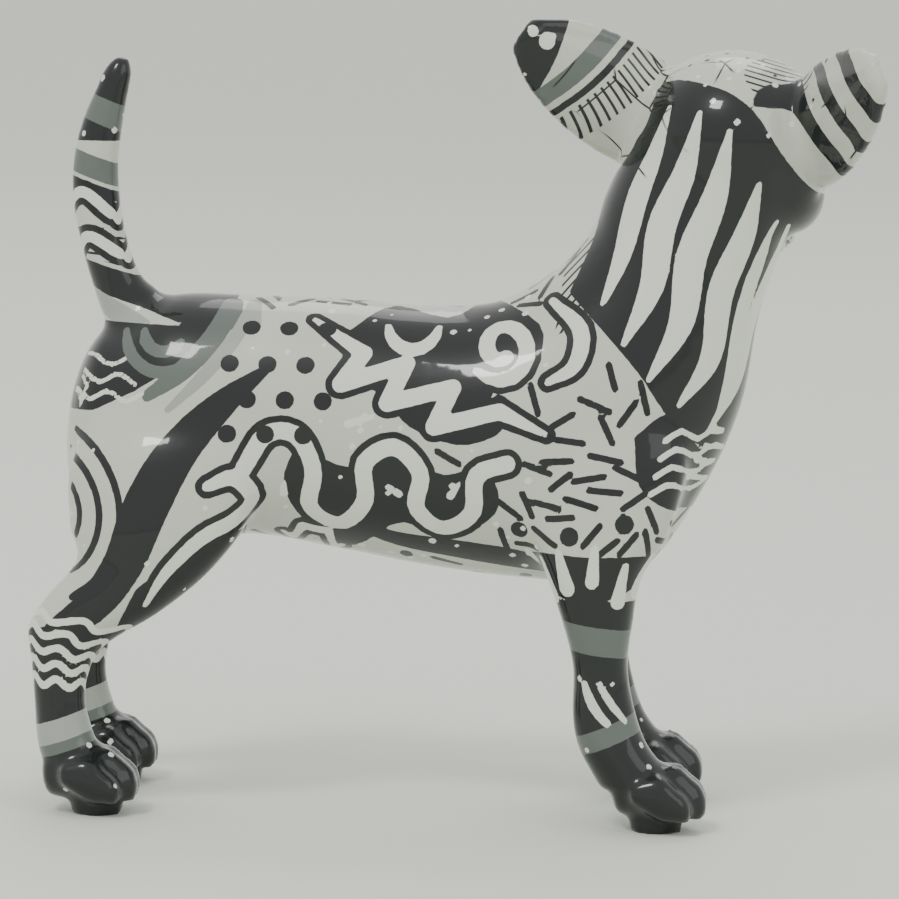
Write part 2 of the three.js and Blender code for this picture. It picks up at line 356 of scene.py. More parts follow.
def spread(values):
    # the mean of each point's neighbours
    return np.stack([np.bincount(fromPoint, weights=values[toPoint, k], minlength=count)
                     for k in range(values.shape[1])], 1) / neighbours


def outwardOf(points):
    a, b, c, d = (points[quads[:, k]] for k in range(4))
    face = np.cross(c - a, d - b)
    total = np.stack([np.bincount(quads.ravel(), weights=np.repeat(face[:, k], 4), minlength=count)
                      for k in range(3)], 1)
    return total / np.maximum(np.linalg.norm(total, axis=1), 1e-9)[:, None]


def smoothed(points, rounds):
    # shrink and swell in turn, so that the size stays
    amount = dogBody["shrink"]
    for _ in range(rounds):
        points = points + (spread(points) - points) * amount
        points = points - (spread(points) - points) * (amount * dogBody["swellBack"])
    return points


def intoFrame(points, matrix):
    inverse = np.array(matrix.inverted())
    return points @ inverse[:3, :3].T + inverse[:3, 3]


def ramp(values, low, high):
    t = np.clip((values - low) / (high - low), 0, 1)
    return t * t * (3 - 2 * t)


coords = smoothed(coords, dogBody["stepRounds"])
inHead = intoFrame(coords, headTurn)
inFace = intoFrame(coords, faceTurn)
earShare = {}
nearEar = np.zeros(count)
for side in (right, left):
    tracks, opening = earTracks(side)
    root = np.array(dogHead["earRoot"]) * (1, side, 1)
    along = tracks[0][-1] - tracks[0][0]
    along /= np.linalg.norm(along)
    reach = (inHead - root) @ along
    off = np.linalg.norm(inHead - root - reach[:, None] * along, axis=1)
    earShare[side] = np.where((off < 18) & (inHead[:, 1] * side > 10), reach / dogHead["earLength"], -1)
    nearEar = np.maximum(nearEar, ramp(reach, -4, 4) * ramp(off, 22, 17) * ramp(inHead[:, 1] * side, 8, 14))
onEar = np.maximum(ramp(earShare[-1], 0.05, 0.3), ramp(earShare[1], 0.05, 0.3))
onFace = ramp(inFace[:, 0], 8, 14) * ramp(np.linalg.norm(inFace, axis=1), 60, 45)
onPaw = ramp(coords[:, 2], *dogBody["pawTop"])
fill = (1 - onEar) * (1 - 0.75 * onFace) * (1 - onPaw)
for fillRound in range(dogBody["fillRounds"]):
    if fillRound % 6 == 0:
        normals = outwardOf(coords)
    hollow = np.maximum(((spread(coords) - coords) * normals).sum(1), 0)
    soften = np.maximum(fill, dogBody["seamAmount"] if fillRound < dogBody["seamRounds"] else 0)
    coords = coords + normals * (hollow * soften * dogBody["fillAmount"])[:, None]
coords = smoothed(coords, 3)
coords = coords + (smoothed(coords, dogBody["earRounds"]) - coords) * nearEar[:, None]
normals = outwardOf(coords)
print("creases filled")

surface = BVHTree.FromPolygons(coords.tolist(), quads.tolist())


def onto(point):
    return np.array(surface.find_nearest(Vector(point))[0])


def skin(x, z, side):
    # the point of the flank that is seen from that side
    hit = surface.ray_cast(Vector((x, side * 90, z)), Vector((0, -side, 0)))[0]
    return onto((x, side * 18, z)) if hit is None else np.array(hit)


def onLimb(tracks, t, angle):
    # angle 0 is the back or top edge, 90 the right flank and -90 the left one
    centre, across, deep, _ = (curveAt(track, t)[0] for track in tracks)
    a = math.radians(angle)
    return onto(centre - across * math.cos(a) - deep * math.sin(a))


def onFaceAt(x, y, z):
    return onto(faceTurn @ Vector((x, y, z)))


# The face is carved: sockets with lids, the mouth's line, nostrils and the furrow between the eyes.
dogCarving = {
    "eyeball": 5.5,
    "eyeAhead": 0.5,        # how far the glossy ball stands before the cast one
    "eyeLook": (0.8, 0.58, 0.1),
    "eyePaint": 6.9,        # radius of the black round the eye
    "eyeOpening": 5.0,
    "socketDepth": 1.3,
    "lidAt": 6.1,
    "lidWidth": 1.1,
    "lidHeight": 0.8,
    "lidHeavier": 0.35,     # how much more the upper lid stands out
    "mouthDepth": 0.9,
    "mouthWidth": 1.1,
    "lipDepth": 0.6,        # of the groove from the nose down to the mouth
    "lipWidth": 0.8,
    "nostrilDepth": 1.2,
    "nostrilWidth": 0.9,
    "furrowDepth": 0.7,
    "furrowWidth": 3.2,
    # half of the mouth's line, from its corner to the middle
    "mouth": [(15, 13, -13.5), (21, 11.5, -14.6), (28, 9.5, -14.4), (34, 6.5, -13.6), (37.5, 2.5, -12.8)],
}
turnedAway = 15.0       # mm that a point counts as farther off where it faces the other way


def distanceTo(points, line, radii=None, facing=None):
    # how far each point is from a line of points, less the line's own radius there; where the
    # points' and the line's normals are given, a point that faces the other way is left out
    best = np.full(len(points), 1e3)
    if facing is not None:
        own, lineNormals = facing
    line = np.asarray(line, float)
    radii = np.zeros(len(line)) if radii is None else np.broadcast_to(radii, len(line)).astype(float)
    for k, (a, b, ra, rb) in enumerate(zip(line[:-1], line[1:], radii[:-1], radii[1:])):
        ab = b - a
        t = np.clip((points - a) @ ab / max(ab @ ab, 1e-9), 0, 1)
        away = np.linalg.norm(points - a - t[:, None] * ab, axis=1) - (ra + (rb - ra) * t)
        if facing is not None:
            away += np.maximum(-own @ lineNormals[k], 0) * turnedAway
        best = np.minimum(best, away)
    if len(line) == 1:
        best = np.linalg.norm(points - line[0], axis=1) - radii[0]
    return best


def carve(points, line, width, depth):
    away = distanceTo(points, line)
    return points - outwardOf(points) * (depth * np.exp(-(away / width) ** 2))[:, None]


eyeAt = dogHead["eye"][0]
eyes = {}
for side in (right, left):
    centre = np.array(faceTurn @ Vector((eyeAt[0], side * eyeAt[1], eyeAt[2])))
    forward, outward, upward = dogCarving["eyeLook"]
    look = np.array(faceTurn.to_3x3() @ Vector((forward, side * outward, upward)).normalized())
    lift = np.array(faceTurn.to_3x3() @ Vector((-0.1, 0, 1)))
    off = coords - centre
    height = off @ look
    spreadOut = np.linalg.norm(off - height[:, None] * look, axis=1)
    ahead = (height > 0) & (height < 12)
    sink = ramp(spreadOut, dogCarving["eyeOpening"] + 0.5, dogCarving["eyeOpening"] - 0.6) * ahead
    upper = 1 + dogCarving["lidHeavier"] * np.clip(off @ lift / dogCarving["lidAt"], -1, 1)
    lid = np.exp(-((spreadOut - dogCarving["lidAt"]) / dogCarving["lidWidth"]) ** 2) * ahead * upper
    coords = coords + look * (lid * dogCarving["lidHeight"] - sink * dogCarving["socketDepth"])[:, None]
    eyes[side] = (centre + look * dogCarving["eyeAhead"], look)
mouth = [onFaceAt(x, -y, z) for x, y, z in dogCarving["mouth"]] + [onFaceAt(38.2, 0, -11.6)] \
    + [onFaceAt(x, y, z) for x, y, z in reversed(dogCarving["mouth"])]
coords = carve(coords, mouth, dogCarving["mouthWidth"], dogCarving["mouthDepth"])
lip = [onFaceAt(38.4, 0, -11.8), onFaceAt(38.8, 0, -9.4)]
coords = carve(coords, lip, dogCarving["lipWidth"], dogCarving["lipDepth"])
for side in (right, left):
    nostril = [onFaceAt(38.2, side * 2.6, -8.2), onFaceAt(37.4, side * 3.6, -8.4)]
    coords = carve(coords, nostril, dogCarving["nostrilWidth"], dogCarving["nostrilDepth"])
furrow = [onFaceAt(21, 0, 6), onFaceAt(17, 0, 14)]
coords = carve(coords, furrow, dogCarving["furrowWidth"], dogCarving["furrowDepth"])
normals = outwardOf(coords)
surface = BVHTree.FromPolygons(coords.tolist(), quads.tolist())
inFace = intoFrame(coords, faceTurn)
print("face carved")

# The painted decoration. Each layer holds how far every point of the surface lies from the layer's
# nearest stroke, in millimetres, and the lacquer's colours change where that is zero.
layerNames = ("mist", "ash", "night", "hatch", "ribbon", "ink", "chalk", "smoke")
farAway = 8.0
layers = {name: np.full(count, farAway) for name in layerNames}
hatchRun = np.zeros(count)
hatchMargin = 3.0       # how far the fine lines' own distances run past their area
triesEach = 14          # places tried for each speck or dash
random.seed(41)
x, y, z = coords.T


def normalAt(point):
    return np.array(surface.find_nearest(Vector(point))[1])


def lay(name, line, radii, facing=True):
    # a brush stroke through points on the surface, with its half width at each of them
    line = np.asarray(line, float)
    radii = np.broadcast_to(np.asarray(radii, float), len(line))
    margin = radii.max() + farAway
    near = np.where(((coords > line.min(0) - margin) & (coords < line.max(0) + margin)).all(1))[0]
    if not len(near):
        return
    ways = (normals[near], [normalAt(at) for at in line]) if facing else None
    away = distanceTo(coords[near], line, radii, ways)
    layers[name][near] = np.minimum(layers[name][near], away)


def pointAt(at):
    # the number of a mesh point close to a place
    return quads[surface.find_nearest(Vector(at))[2], 0]


def smoothLine(points, step=2.0):
    points = np.asarray(points, float)
    length = np.linalg.norm(np.diff(points[:, :3], axis=0), axis=1).sum()
    return curveAt(points, np.linspace(0, 1, max(int(length / step), 2) + 1))


def flank(name, side, points, radii, smooth=True):
    # a stroke on one flank, through points given as x and z
    points = np.asarray(points, float)[:, :2]
    radii = np.broadcast_to(np.asarray(radii, float), len(points))[:, None]
    both = np.hstack([points, radii])
    if smooth:
        both = smoothLine(both)
    else:
        steps = np.linspace(0, 1, 7)[:-1, None]
        both = np.vstack([a + (b - a) * steps for a, b in zip(both[:-1], both[1:])] + [both[-1:]])
    lay(name, [skin(at[0], at[1], side) for at in both], both[:, 2])


def around(name, tracks, points, radii):
    # a stroke on a limb, through points given as a share of its length and an angle
    points = np.asarray(points, float)
    radii = np.broadcast_to(np.asarray(radii, float), len(points))[:, None]
    both = curveAt(np.hstack([points, radii]), np.linspace(0, 1, 10 * (len(points) - 1) + 1))
    lay(name, [onLimb(tracks, t, angle) for t, angle, _ in both], both[:, 2])


def inOutline(outline, side=0):
    # how far each point is outside an outline that is drawn on the flank
    outline = np.asarray(outline, float)
    p = coords[:, [0, 2]]
    best = np.full(count, 1e3)
    inside = np.zeros(count, bool)
    for a, b in zip(outline, np.roll(outline, -1, 0)):
        ab = b - a
        t = np.clip((p - a) @ ab / (ab @ ab), 0, 1)
        best = np.minimum(best, np.linalg.norm(p - a - t[:, None] * ab, axis=1))
        crosses = (a[1] > p[:, 1]) != (b[1] > p[:, 1])
        at = a[0] + (p[:, 1] - a[1]) / np.where(ab[1] == 0, 1e-9, ab[1]) * ab[0]
        inside ^= crosses & (p[:, 0] < at)
    away = np.where(inside, -best, best)
    if side:
        # past the middle line the area ends in a wavy edge
        wavy = 1.6 * np.sin(0.42 * x + 0.5 * z)
        away = np.maximum(away, -side * y - 2 + wavy + 1.2 * np.sin(0.9 * z - 0.3 * x))
    return away


def rounded(outline, step=3.0):
    # a closed outline with its corners smoothed
    return smoothLine(np.array(outline + outline[:1], float), step)[:-1]


def fillIn(name, away, within=None):
    # a filled area, given as how far each point is outside it
    away = away if within is None else np.maximum(away, within)
    layers[name] = np.minimum(layers[name], away)


def slab(at, normal, half):
    # how far each point is outside a straight band
    normal = np.asarray(normal, float) / np.linalg.norm(normal)
    return np.abs((coords - np.asarray(at, float)) @ normal) - half


def hatchIn(away, centre):
    # fine lines in rings round a centre
    run = np.linalg.norm(coords - np.asarray(centre, float), axis=1)
    hatchRun[:] = np.where(away < hatchMargin, run, hatchRun)
    layers["hatch"] = np.minimum(layers["hatch"], away)


def strewn(where, total, gap, clear):
    # numbers of points strewn over an area, each clear of the others and of the layers in clear
    pool = np.where(where)[0]
    placed = []
    for _ in range(total * triesEach):
        if len(placed) >= total or not len(pool):
            break
        i = pool[random.randrange(len(pool))]
        if any(layers[other][i] < need for other, need in clear):
            continue
        if any(np.linalg.norm(coords[i] - coords[j]) < gap for j in placed):
            continue
        placed.append(i)
        yield i


def dashes(name, where, total, gap, length, radius, clear):
    # short strokes strewn over an area, each turned its own way
    for i in strewn(where, total, gap, clear):
        first = np.cross(normals[i], (0.3, 0.9, 0.2))
        first /= np.linalg.norm(first)
        reach = length * random.uniform(0.85, 1.1) / 2
        turn = random.uniform(0, math.pi)
        for _ in range(5):
            way = first * math.cos(turn) + np.cross(normals[i], first) * math.sin(turn)
            ends = [coords[i] - way * reach, coords[i] + way * reach]
            if all(layers[name][pointAt(end)] > 1.4 * radius for end in ends):
                lay(name, [onto(ends[0]), coords[i], onto(ends[1])], radius)
                break
            turn += math.pi / 5


def dots(name, where, total, gap, sizes, clear=()):
    # specks strewn over an area, with radii between the two sizes
    for i in strewn(where, total, gap, clear):
        lay(name, [coords[i]], random.uniform(*sizes))


def dotRows(side, corner, rows, columns, across, up, radius):
    # rows of polka dots on one flank, every second row shifted by half a step
    for row in range(rows):
        for column in range(columns):
            dotAt = corner[0] + across * (column + 0.5 * (row % 2))
            lay("ink", [skin(dotAt, corner[1] + up * row, side)], radius)


def wave(start, length, height, turns):
    # points above and below a level line in turn
    return [(start[0] + length * k / turns, start[1] + (height if k % 2 else -height))
            for k in range(turns + 1)]


def spiral(centre, start, end, turns, phase=0.0, points=14):
    out = []
    for share in np.linspace(0, 1, points):
        a = phase + turns * 2 * math.pi * share
        r = start + (end - start) * share
        out.append((centre[0] + r * math.cos(a), centre[1] + r * math.sin(a)))
    return out


def arc(centre, radius, first, last, points=8):
    return [(centre[0] + radius * math.cos(a), centre[1] + radius * math.sin(a))
            for a in np.linspace(math.radians(first), math.radians(last), points)]


def earLine(side):
    # the middle line of an ear
    centre = curveAt(earTracks(side)[0][0], [0.2, 0.45, 0.7, 1])
    return np.array([headTurn @ Vector(at) for at in centre])


# Parts of the dog, each as how far a point is outside it.
tailPart = np.maximum(x + 62, 114 - z)
hindPart = {side: np.maximum.reduce([x + 40, z - 60, 2 - side * y]) for side in (right, left)}
frontPart = {side: np.maximum.reduce([12 - x, z - 62, 2 - side * y]) for side in (right, left)}
faceLine = [faceTurn @ Vector(at) for at in ((4, 0, 1), (22, 0, -9), (40, 0, -11))]
faceBall = distanceTo(coords, faceLine, (23.2, 14, 12))

# Both sides share the big dark masses: rump, thigh band, knee, belly, mantle and legs.
for side in (right, left):
    rump = [(-98, 112), (-80, 116), (-62, 124), (-49, 124), (-52, 113), (-61, 106), (-72, 99), (-82, 94),
            (-98, 93)]
    fillIn("night", inOutline(rump, side), -tailPart)
    flank("ash", side, [(-50, 121), (-54, 112), (-61, 104), (-69, 98)], [2.2, 2.6, 2.4, 1.4])
    flank("mist", side, [(-45, 121), (-49, 112), (-56, 103), (-64, 95)], [1.5, 1.8, 1.6, 0.8])
    flank("night", side, [(-40, 106), (-51, 97), (-61, 86), (-68, 73), (-73, 60), (-80, 50), (-89, 43)],
          [0.8, 3.2, 4.8, 5.4, 4.8, 4.2, 3])
    fillIn("night", inOutline([(-78, 38), (-64, 46), (-50, 59), (-46, 68), (-58, 63), (-70, 54)], side))
    flank("night", side, [(-25, 71), (-12, 66), (4, 63.5), (18, 61.5), (34, 59), (50, 62)],
          [0.6, 2.4, 3.4, 4, 5.4, 3])
mantle = [(28, 124), (33, 136), (36, 148), (42, 158), (48, 172), (60, 172), (69, 167), (76, 157), (83, 149),
          (92, 144), (94, 136), (84, 122), (78, 108), (73, 94), (62, 88), (52, 96), (45, 106), (37, 115)]
offEars = np.minimum.reduce([distanceTo(coords, earLine(side), (7, 12.5, 12.5, 9)) for side in (right, left)])
fillIn("night", inOutline(rounded(mantle)), np.maximum(-faceBall, -offEars))
for side in (right, left):
    hind, front = hindPart[side], frontPart[side]
    fillIn("night", z - 44, hind)
    fillIn("night", z - 54, front)
    fillIn("ash", slab((38, 0, 44.5), (0.12, 0, 1), 3.3), front)
    fillIn("ash", slab((38, 0, 22), (-0.45, 0, 1), 2.3), front)
    fillIn("mist", slab((-88, 0, 20), (-0.35, 0, 1), 2.6), hind)
    fillIn("ash", slab((-88, 0, 16), (-0.35, 0, 1), 1.4), hind)
fillIn("night", z - 12)

# The neck's flames, pale on the mantle: x, z and half width before they are widened.
flameWiden, flameEdge = 1.22, 0.3
flames = [
    [(36, 122, 0.3), (40, 133, 1.6), (43, 146, 2.2), (47, 157, 1.7), (50, 167, 0.3)],
    [(41, 113, 0.3), (47, 126, 2.0), (49, 140, 2.5), (54, 153, 1.9), (57, 166, 0.3)],
    [(47, 105, 0.3), (54, 118, 2.2), (56, 133, 2.7), (61, 147, 2.1), (64, 162, 0.3)],
    [(54, 99, 0.3), (61, 110, 2.1), (63, 125, 2.6), (68, 138, 2.1), (71, 150, 0.3)],
    [(61, 93, 0.3), (67, 104, 1.8), (70, 117, 2.3), (74, 129, 2.0), (78, 140, 0.3)],
    [(69, 95, 0.3), (73, 107, 1.2), (77, 120, 1.7), (80, 129, 1.4), (83, 137, 0.3)],
]
for side in (right, left):
    for flame in flames:
        flank("chalk", side, flame, [flameWiden * row[2] + flameEdge for row in flame])
layers["chalk"] = np.maximum(layers["chalk"], -faceBall)
# fine rings on the skull behind the face
crown = np.array(headTurn @ Vector((4, -6, 30)))
crownLine = [headTurn @ Vector(at) for at in ((-10, -13, 16), (0, -16, 15), (9, -9, 18))]
hatchIn(distanceTo(coords, crownLine, [8, 10, 7]), crown)

# The right flank shows in the photograph. First its rump and thigh,
for radius in (5, 9.6):
    flank("smoke", right, arc((-66, 113), radius, 185, 330), [0.9, 1.5, 1.5, 1.5, 1.5, 1.5, 1.5, 0.9])
for row in range(3):
    flank("chalk", right, wave((-92 + 2 * row, 97.5 + 4 * row), 22 - 4 * row, 1.1, 5 - row), 0.55)
for radius in (6, 11, 16, 21):
    flank("ink", right, arc((-95, 70), radius, -62, 68), 0.9)
flank("ribbon", right, [(-54, 78), (-48, 80), (-44, 75), (-48, 70), (-55, 66), (-63, 58), (-68, 50)],
      [1.2, 1.9, 2.0, 1.8, 1.7, 1.3, 0.6])
# then the barrel,
upperPatch = [(-24, 113), (-14, 119), (0, 117), (10, 121), (22, 116), (20, 106), (11, 101), (14, 93), (4, 89),
              (-8, 93), (-14, 100), (-23, 103)]
lowerPatch = [(-34, 88), (-22, 83), (-12, 87), (0, 82), (10, 84), (13, 74), (2, 67), (-10, 70), (-22, 63),
              (-33, 70), (-37, 79)]
for patch in (upperPatch, lowerPatch):
    fillIn("night", inOutline(rounded(patch), right))
lightning = [(-31, 116), (-19, 109), (-24, 102), (-9, 107), (-13, 98), (2, 102), (-2, 93), (13, 97), (24, 92)]
flank("ribbon", right, lightning, [0.7, 2, 2, 2, 2, 2, 2, 1.9, 0.6], smooth=False)
flank("ribbon", right, spiral((13, 111), 7.6, 2.2, 1.2, -2.4), [1.0, 1.6] + [1.9] * 12)
flank("ribbon", right, arc((-8, 116), 6, 190, 350), [0.8, 1.4, 1.7, 1.8, 1.8, 1.7, 1.4, 0.8])
meander = [(-46, 82), (-41, 90), (-34, 90), (-30, 82), (-31, 73), (-24, 69), (-18, 75), (-18, 84), (-11, 88),
           (-5, 82), (-6, 74), (0, 69), (7, 73), (8, 82), (15, 85)]
flank("ribbon", right, meander, 2.0)
flank("ribbon", right, [(24, 122), (31, 116), (30, 108), (24, 104)], [0.9, 1.9, 1.7, 0.9])
flank("ribbon", right, [(-38, 66), (-31, 61), (-24, 63)], [0.7, 1.4, 0.7])
for tick in ([(-22, 93), (-16, 95)], [(-2, 95), (3, 93)], [(-10, 77), (-13, 79)], [(2, 77), (4, 80)],
             [(-37, 76), (-37, 79)]):
    flank("chalk", right, tick, [1.0, 0.5], smooth=False)
dotRows(right, (-50, 90), 4, 3, 8.8, 8.0, 2.15)
# and the chest with the shoulder.
chestPatch = [(44, 92), (52, 97), (60, 88), (71, 92), (73, 84), (66, 76), (56, 74), (46, 80)]
fillIn("night", inOutline(rounded(chestPatch, 2), right))
for row in range(4):
    flank("chalk", right, wave((48 + row, 80 + 4 * row), 18 - row, 1.1, 4), 0.7)
dots("chalk", (x > -40) & (x < 24) & (z > 60) & (y < -4), 46, 3.6, (0.4, 0.95), (("ribbon", 2.6), ("ink", 2)))
dots("ink", (x > 8) & (x < 66) & (z > 66) & (z < 74) & (y < -2), 4, 12, (2.0, 2.3),
     (("night", 3), ("ribbon", 4)))
hatchIn(inOutline([(27, 133), (35, 138), (35, 120), (25, 114)], right), (62, -30, 100))
dashes("ink", (x > -2) & (x < 70) & (z > 60) & (z < 136) & (y < 6), 200, 4.4, 6.8, 0.8,
       (("night", 1.9), ("ribbon", 4.0), ("ash", 1), ("ink", 1.9), ("hatch", 2)))

# The left flank is plainer: a dotted barrel between waves and dashes.
leftPatch = [(-32, 112), (-12, 118), (6, 112), (12, 100), (2, 92), (-14, 94), (-28, 98)]
fillIn("night", inOutline(rounded(leftPatch), left))
flank("ribbon", left, spiral((-12, 105), 8.5, 2.4, 1.3, 0.6), 1.9)
flank("ribbon", left, [(-30, 98), (-20, 94), (-22, 87), (-8, 91), (-10, 83), (6, 88), (14, 82)],
      [0.7, 1.8, 1.8, 1.8, 1.8, 1.7, 0.6], smooth=False)
dotRows(left, (-38, 68), 3, 5, 9.2, 8.4, 2.2)
for k in range(5):
    flank("ink", left, wave((13, 69 + 10 * k), 42, 2.8, 5), 1.1)
for row in range(2):
    flank("chalk", left, wave((-92, 98 + 5 * row), 22, 1.3, 5), 0.6)
for radius in (7, 12.5, 18):
    flank("ink", left, arc((-95, 72), radius, -60, 60), 0.9)
flank("ribbon", left, [(-52, 80), (-46, 76), (-52, 69), (-62, 60)], [1.2, 1.8, 1.6, 0.7])
leftBack = (x > -64) & (x < 46) & (z > 62) & (y > -6) & ((x < 6) | (z > 116)) & (z < 140)
dashes("ink", leftBack, 130, 5, 6.8, 0.8,
       (("night", 2.0), ("ribbon", 4.2), ("ash", 1), ("ink", 2.3)))

# the lines of both flanks end before they come round to the back
rearward = (-normals[:, 0] - 0.86 + 0.05 * np.sin(0.5 * z)) * 14
rear = (x < -70) & (z > 56) & (tailPart > 0)
for name in ("ink", "chalk"):
    layers[name] = np.where(rear, np.maximum(layers[name], rearward), layers[name])

# back, belly and throat
dots("ink", (x > -46) & (x < 36) & (z < 62) & (z > 50), 14, 8, (1.3, 2.0), (("night", 2.4), ("ink", 2)))
dots("chalk", (x > -34) & (x < 50) & (z < 66), 22, 5, (0.5, 1.0), (("ash", 1),))
dots("chalk", (x > -90) & (x < -40) & (z > 44) & (z < 104), 30, 5, (0.5, 0.9),
     (("chalk", 1.2), ("ribbon", 2.4)))

# a fine spatter where the neck meets the skull
crownBack = np.linalg.norm(coords - np.array(headTurn @ Vector((-12, -10, 16))), axis=1)
dots("chalk", (crownBack < 16) & (z > 150), 22, 3.2, (0.55, 0.85), (("chalk", 0.8),))
dots("night", (crownBack < 20) & (z > 160), 22, 3.2, (0.5, 0.8), (("night", 0.6),))

# tail
fillIn("night", 156 - z, tailPart)
fillIn("ash", slab((-83, 0, 163), (0.4, 0, 1), 3), tailPart)
fillIn("night", slab((-83, 0, 124), (0.3, 0, 1), 3.2), tailPart)
fillIn("mist", slab((-80, 0, 117), (0.5, 0, 1), 2.4), tailPart)
hatchIn(np.maximum(slab((-84, 0, 132), (0.3, 0, 1), 3.2), tailPart), (-84, 0, 92))
fillIn("ash", slab((-85, 0, 150), (0.35, 0, 1), 2.6), tailPart)
fillIn("night", slab((-85, 0, 145), (0.35, 0, 1), 1.2), tailPart)
for share in (0.42, 0.56):
    ring = [(share - 0.05, -210), (share + 0.03, -120), (share - 0.02, -30), (share + 0.04, 60),
            (share - 0.03, 130)]
    around("ribbon", tailTracks, ring, 1.3)
dots("chalk", (tailPart < 0) & (z > 157), 8, 4, (0.5, 1.0))

# legs
for side in (right, left):
    tracks = legTracks["hindLeg", side]
    for share in (0.5, 0.55, 0.6, 0.65, 0.7):
        around("chalk", tracks, [(share + 0.013 * (-1) ** k, -180 + 30 * k) for k in range(13)], 0.85)
    tracks = legTracks["frontLeg", side]
    around("chalk", tracks, [(0.665, 55), (0.72, 72), (0.785, 96)], [0.9, 1.2, 0.9])
    around("chalk", tracks, [(0.665, 88), (0.72, 108), (0.785, 132)], [0.7, 0.9, 0.7])
    around("chalk", tracks, [(0.665, -125), (0.72, -108), (0.785, -84)], [0.9, 1.2, 0.9])
    around("chalk", tracks, [(0.665, -92), (0.72, -72), (0.785, -48)], [0.7, 0.9, 0.7])
    for k in range(10):
        end, radius = ((0.405, 2.1), (0.385, 1.6), (0.43, 1.9))[k % 3]
        angle = -162 + 36 * k
        lay("chalk", [onLimb(tracks, end - 0.09, angle), onLimb(tracks, end, angle)], [0.9, radius])
dots("chalk", (z < 24) & (z > 4), 34, 5, (0.6, 0.85), (("mist", 0.6),))

# ears: banded backs, plainer fronts
for side in (right, left):
    inEar = intoFrame(coords, headTurn) - np.array(dogHead["earRoot"]) * (1, side, 1)
    tracks, opening = earTracks(side)
    along = (tracks[0][-1] - tracks[0][0]) / np.linalg.norm(tracks[0][-1] - tracks[0][0])
    wide = np.cross(along, opening)
    run, aside = inEar @ along, inEar @ wide
    ear = np.maximum.reduce([5 - run, run - 46, np.abs(aside) - 17, np.abs(inEar @ opening) - 14])
    front = -((normals @ np.array(headTurn.to_3x3())) @ opening) * 6
    if side == right:
        slant = run + 0.3 * aside
        for middle, half in ((11, 2.6), (21.5, 2.2), (32, 2.4)):
            fillIn("night", np.abs(slant - middle + 0.02 * aside ** 2) - half, ear)
    else:
        fillIn("night", 30 - run - 0.2 * aside, ear)
        fillIn("ash", np.abs(run - 24 - 0.25 * aside) - 2.4, ear)
        fillIn("night", np.abs(run - 19 - 0.25 * aside) - 0.9, ear)
        hatchIn(np.maximum(np.abs(run - 13 - 0.25 * aside) - 4, ear), headTurn @ Vector((-60, 60, -40)))
        for spot, size in ((34, 2.0), (38, 1.3)):
            fillIn("chalk", np.hypot(run - spot, aside + 2) - size, ear)
    loop = np.abs(np.hypot(aside, (run - 14) * 0.45) - 5.4) - 0.8
    fillIn("smoke", np.maximum(loop, front), ear)

# The face is a plain design of its own: pale, with a dark nose, a brow band, dots and whisker marks.
brow = [onFaceAt(6, -15, 16), onFaceAt(11, -7, 19), onFaceAt(11, 7, 19), onFaceAt(6, 15, 16)]
lay("night", smoothLine(brow), 2.4)
for at, radius in (((23, 0, 0), 1.2), ((21, 0, 5), 1.5), ((18.5, 0, 10), 1.8)):
    lay("night", [onFaceAt(*at)], radius)
for side in (right, left):
    at, look = eyes[side]
    lay("night", [at + look * 4], [dogCarving["eyePaint"]], facing=False)
    whiskers = (inFace[:, 0] > 22) & (inFace[:, 2] < -8) & (inFace[:, 2] > -13.5) & (inFace[:, 1] * side > 4)
    dots("ink", whiskers, 7, 2.6, (0.45, 0.5), (("night", 1),))
lay("night", [onFaceAt(38, 0, -8), onFaceAt(36, 0, -6)], [4.6, 4.0], facing=False)
lay("night", mouth, [0.75])
print("decoration drawn")

# the soles are flat on the floor, and nothing stands past the solid's own box
boxLow, boxHigh = (np.array(corner) / mm - (*dogBody["drawingAt"], 0) for corner in cadBounds)
coords = np.clip(coords, boxLow, boxHigh)
cast.vertices.foreach_set("co", coords.ravel())
whole = bmesh.new()
whole.from_mesh(cast)
for side in (right, left):
    at, look = eyes[side]
    place = Matrix.Translation(at) @ Vector(look).to_track_quat("Z", "Y").to_matrix().to_4x4()
    bmesh.ops.create_uvsphere(whole, u_segments=48, v_segments=32, radius=dogCarving["eyeball"], matrix=place)
whole.to_mesh(cast)
whole.free()
eyePoints = len(cast.vertices) - count
layers["run"] = hatchRun
for name, values in layers.items():
    full = np.append(values, np.full(eyePoints, -4.0 if name == "night" else farAway))
    cast.attributes.new(name, "FLOAT", "POINT").data.foreach_set("value", full)
for face in cast.polygons:
    face.use_smooth = True
cast.transform(Matrix.Scale(mm, 4) @ Matrix.Translation((*dogBody["drawingAt"], 0)))
cast.name = "castDog"


def linear(code):
    # sRGB hex to the renderer's linear colour
    parts = [int(code[k:k + 2], 16) / 255 for k in (0, 2, 4)]
    return (*[c / 12.92 if c <= 0.04045 else ((c + 0.055) / 1.055) ** 2.4 for c in parts], 1)


def newMaterial(name):
    material = bpy.data.materials.new(name)
    material.use_nodes = True
    tree = material.node_tree
    tree.nodes.clear()
    return material, tree


def add(tree, kind, settings=None, **links):
    # a node with its settings, and links or values for its inputs by name or number
    node = tree.nodes.new(kind)
    for key, value in (settings or {}).items():
        setattr(node, key, value)
    for key, value in links.items():
        numbered = key.startswith("in") and key[2:].isdigit()
        socket = node.inputs[int(key[2:]) if numbered else key.replace("_", " ")]
        if isinstance(value, bpy.types.NodeSocket):
            tree.links.new(value, socket)
        else:
            socket.default_value = value
    return node


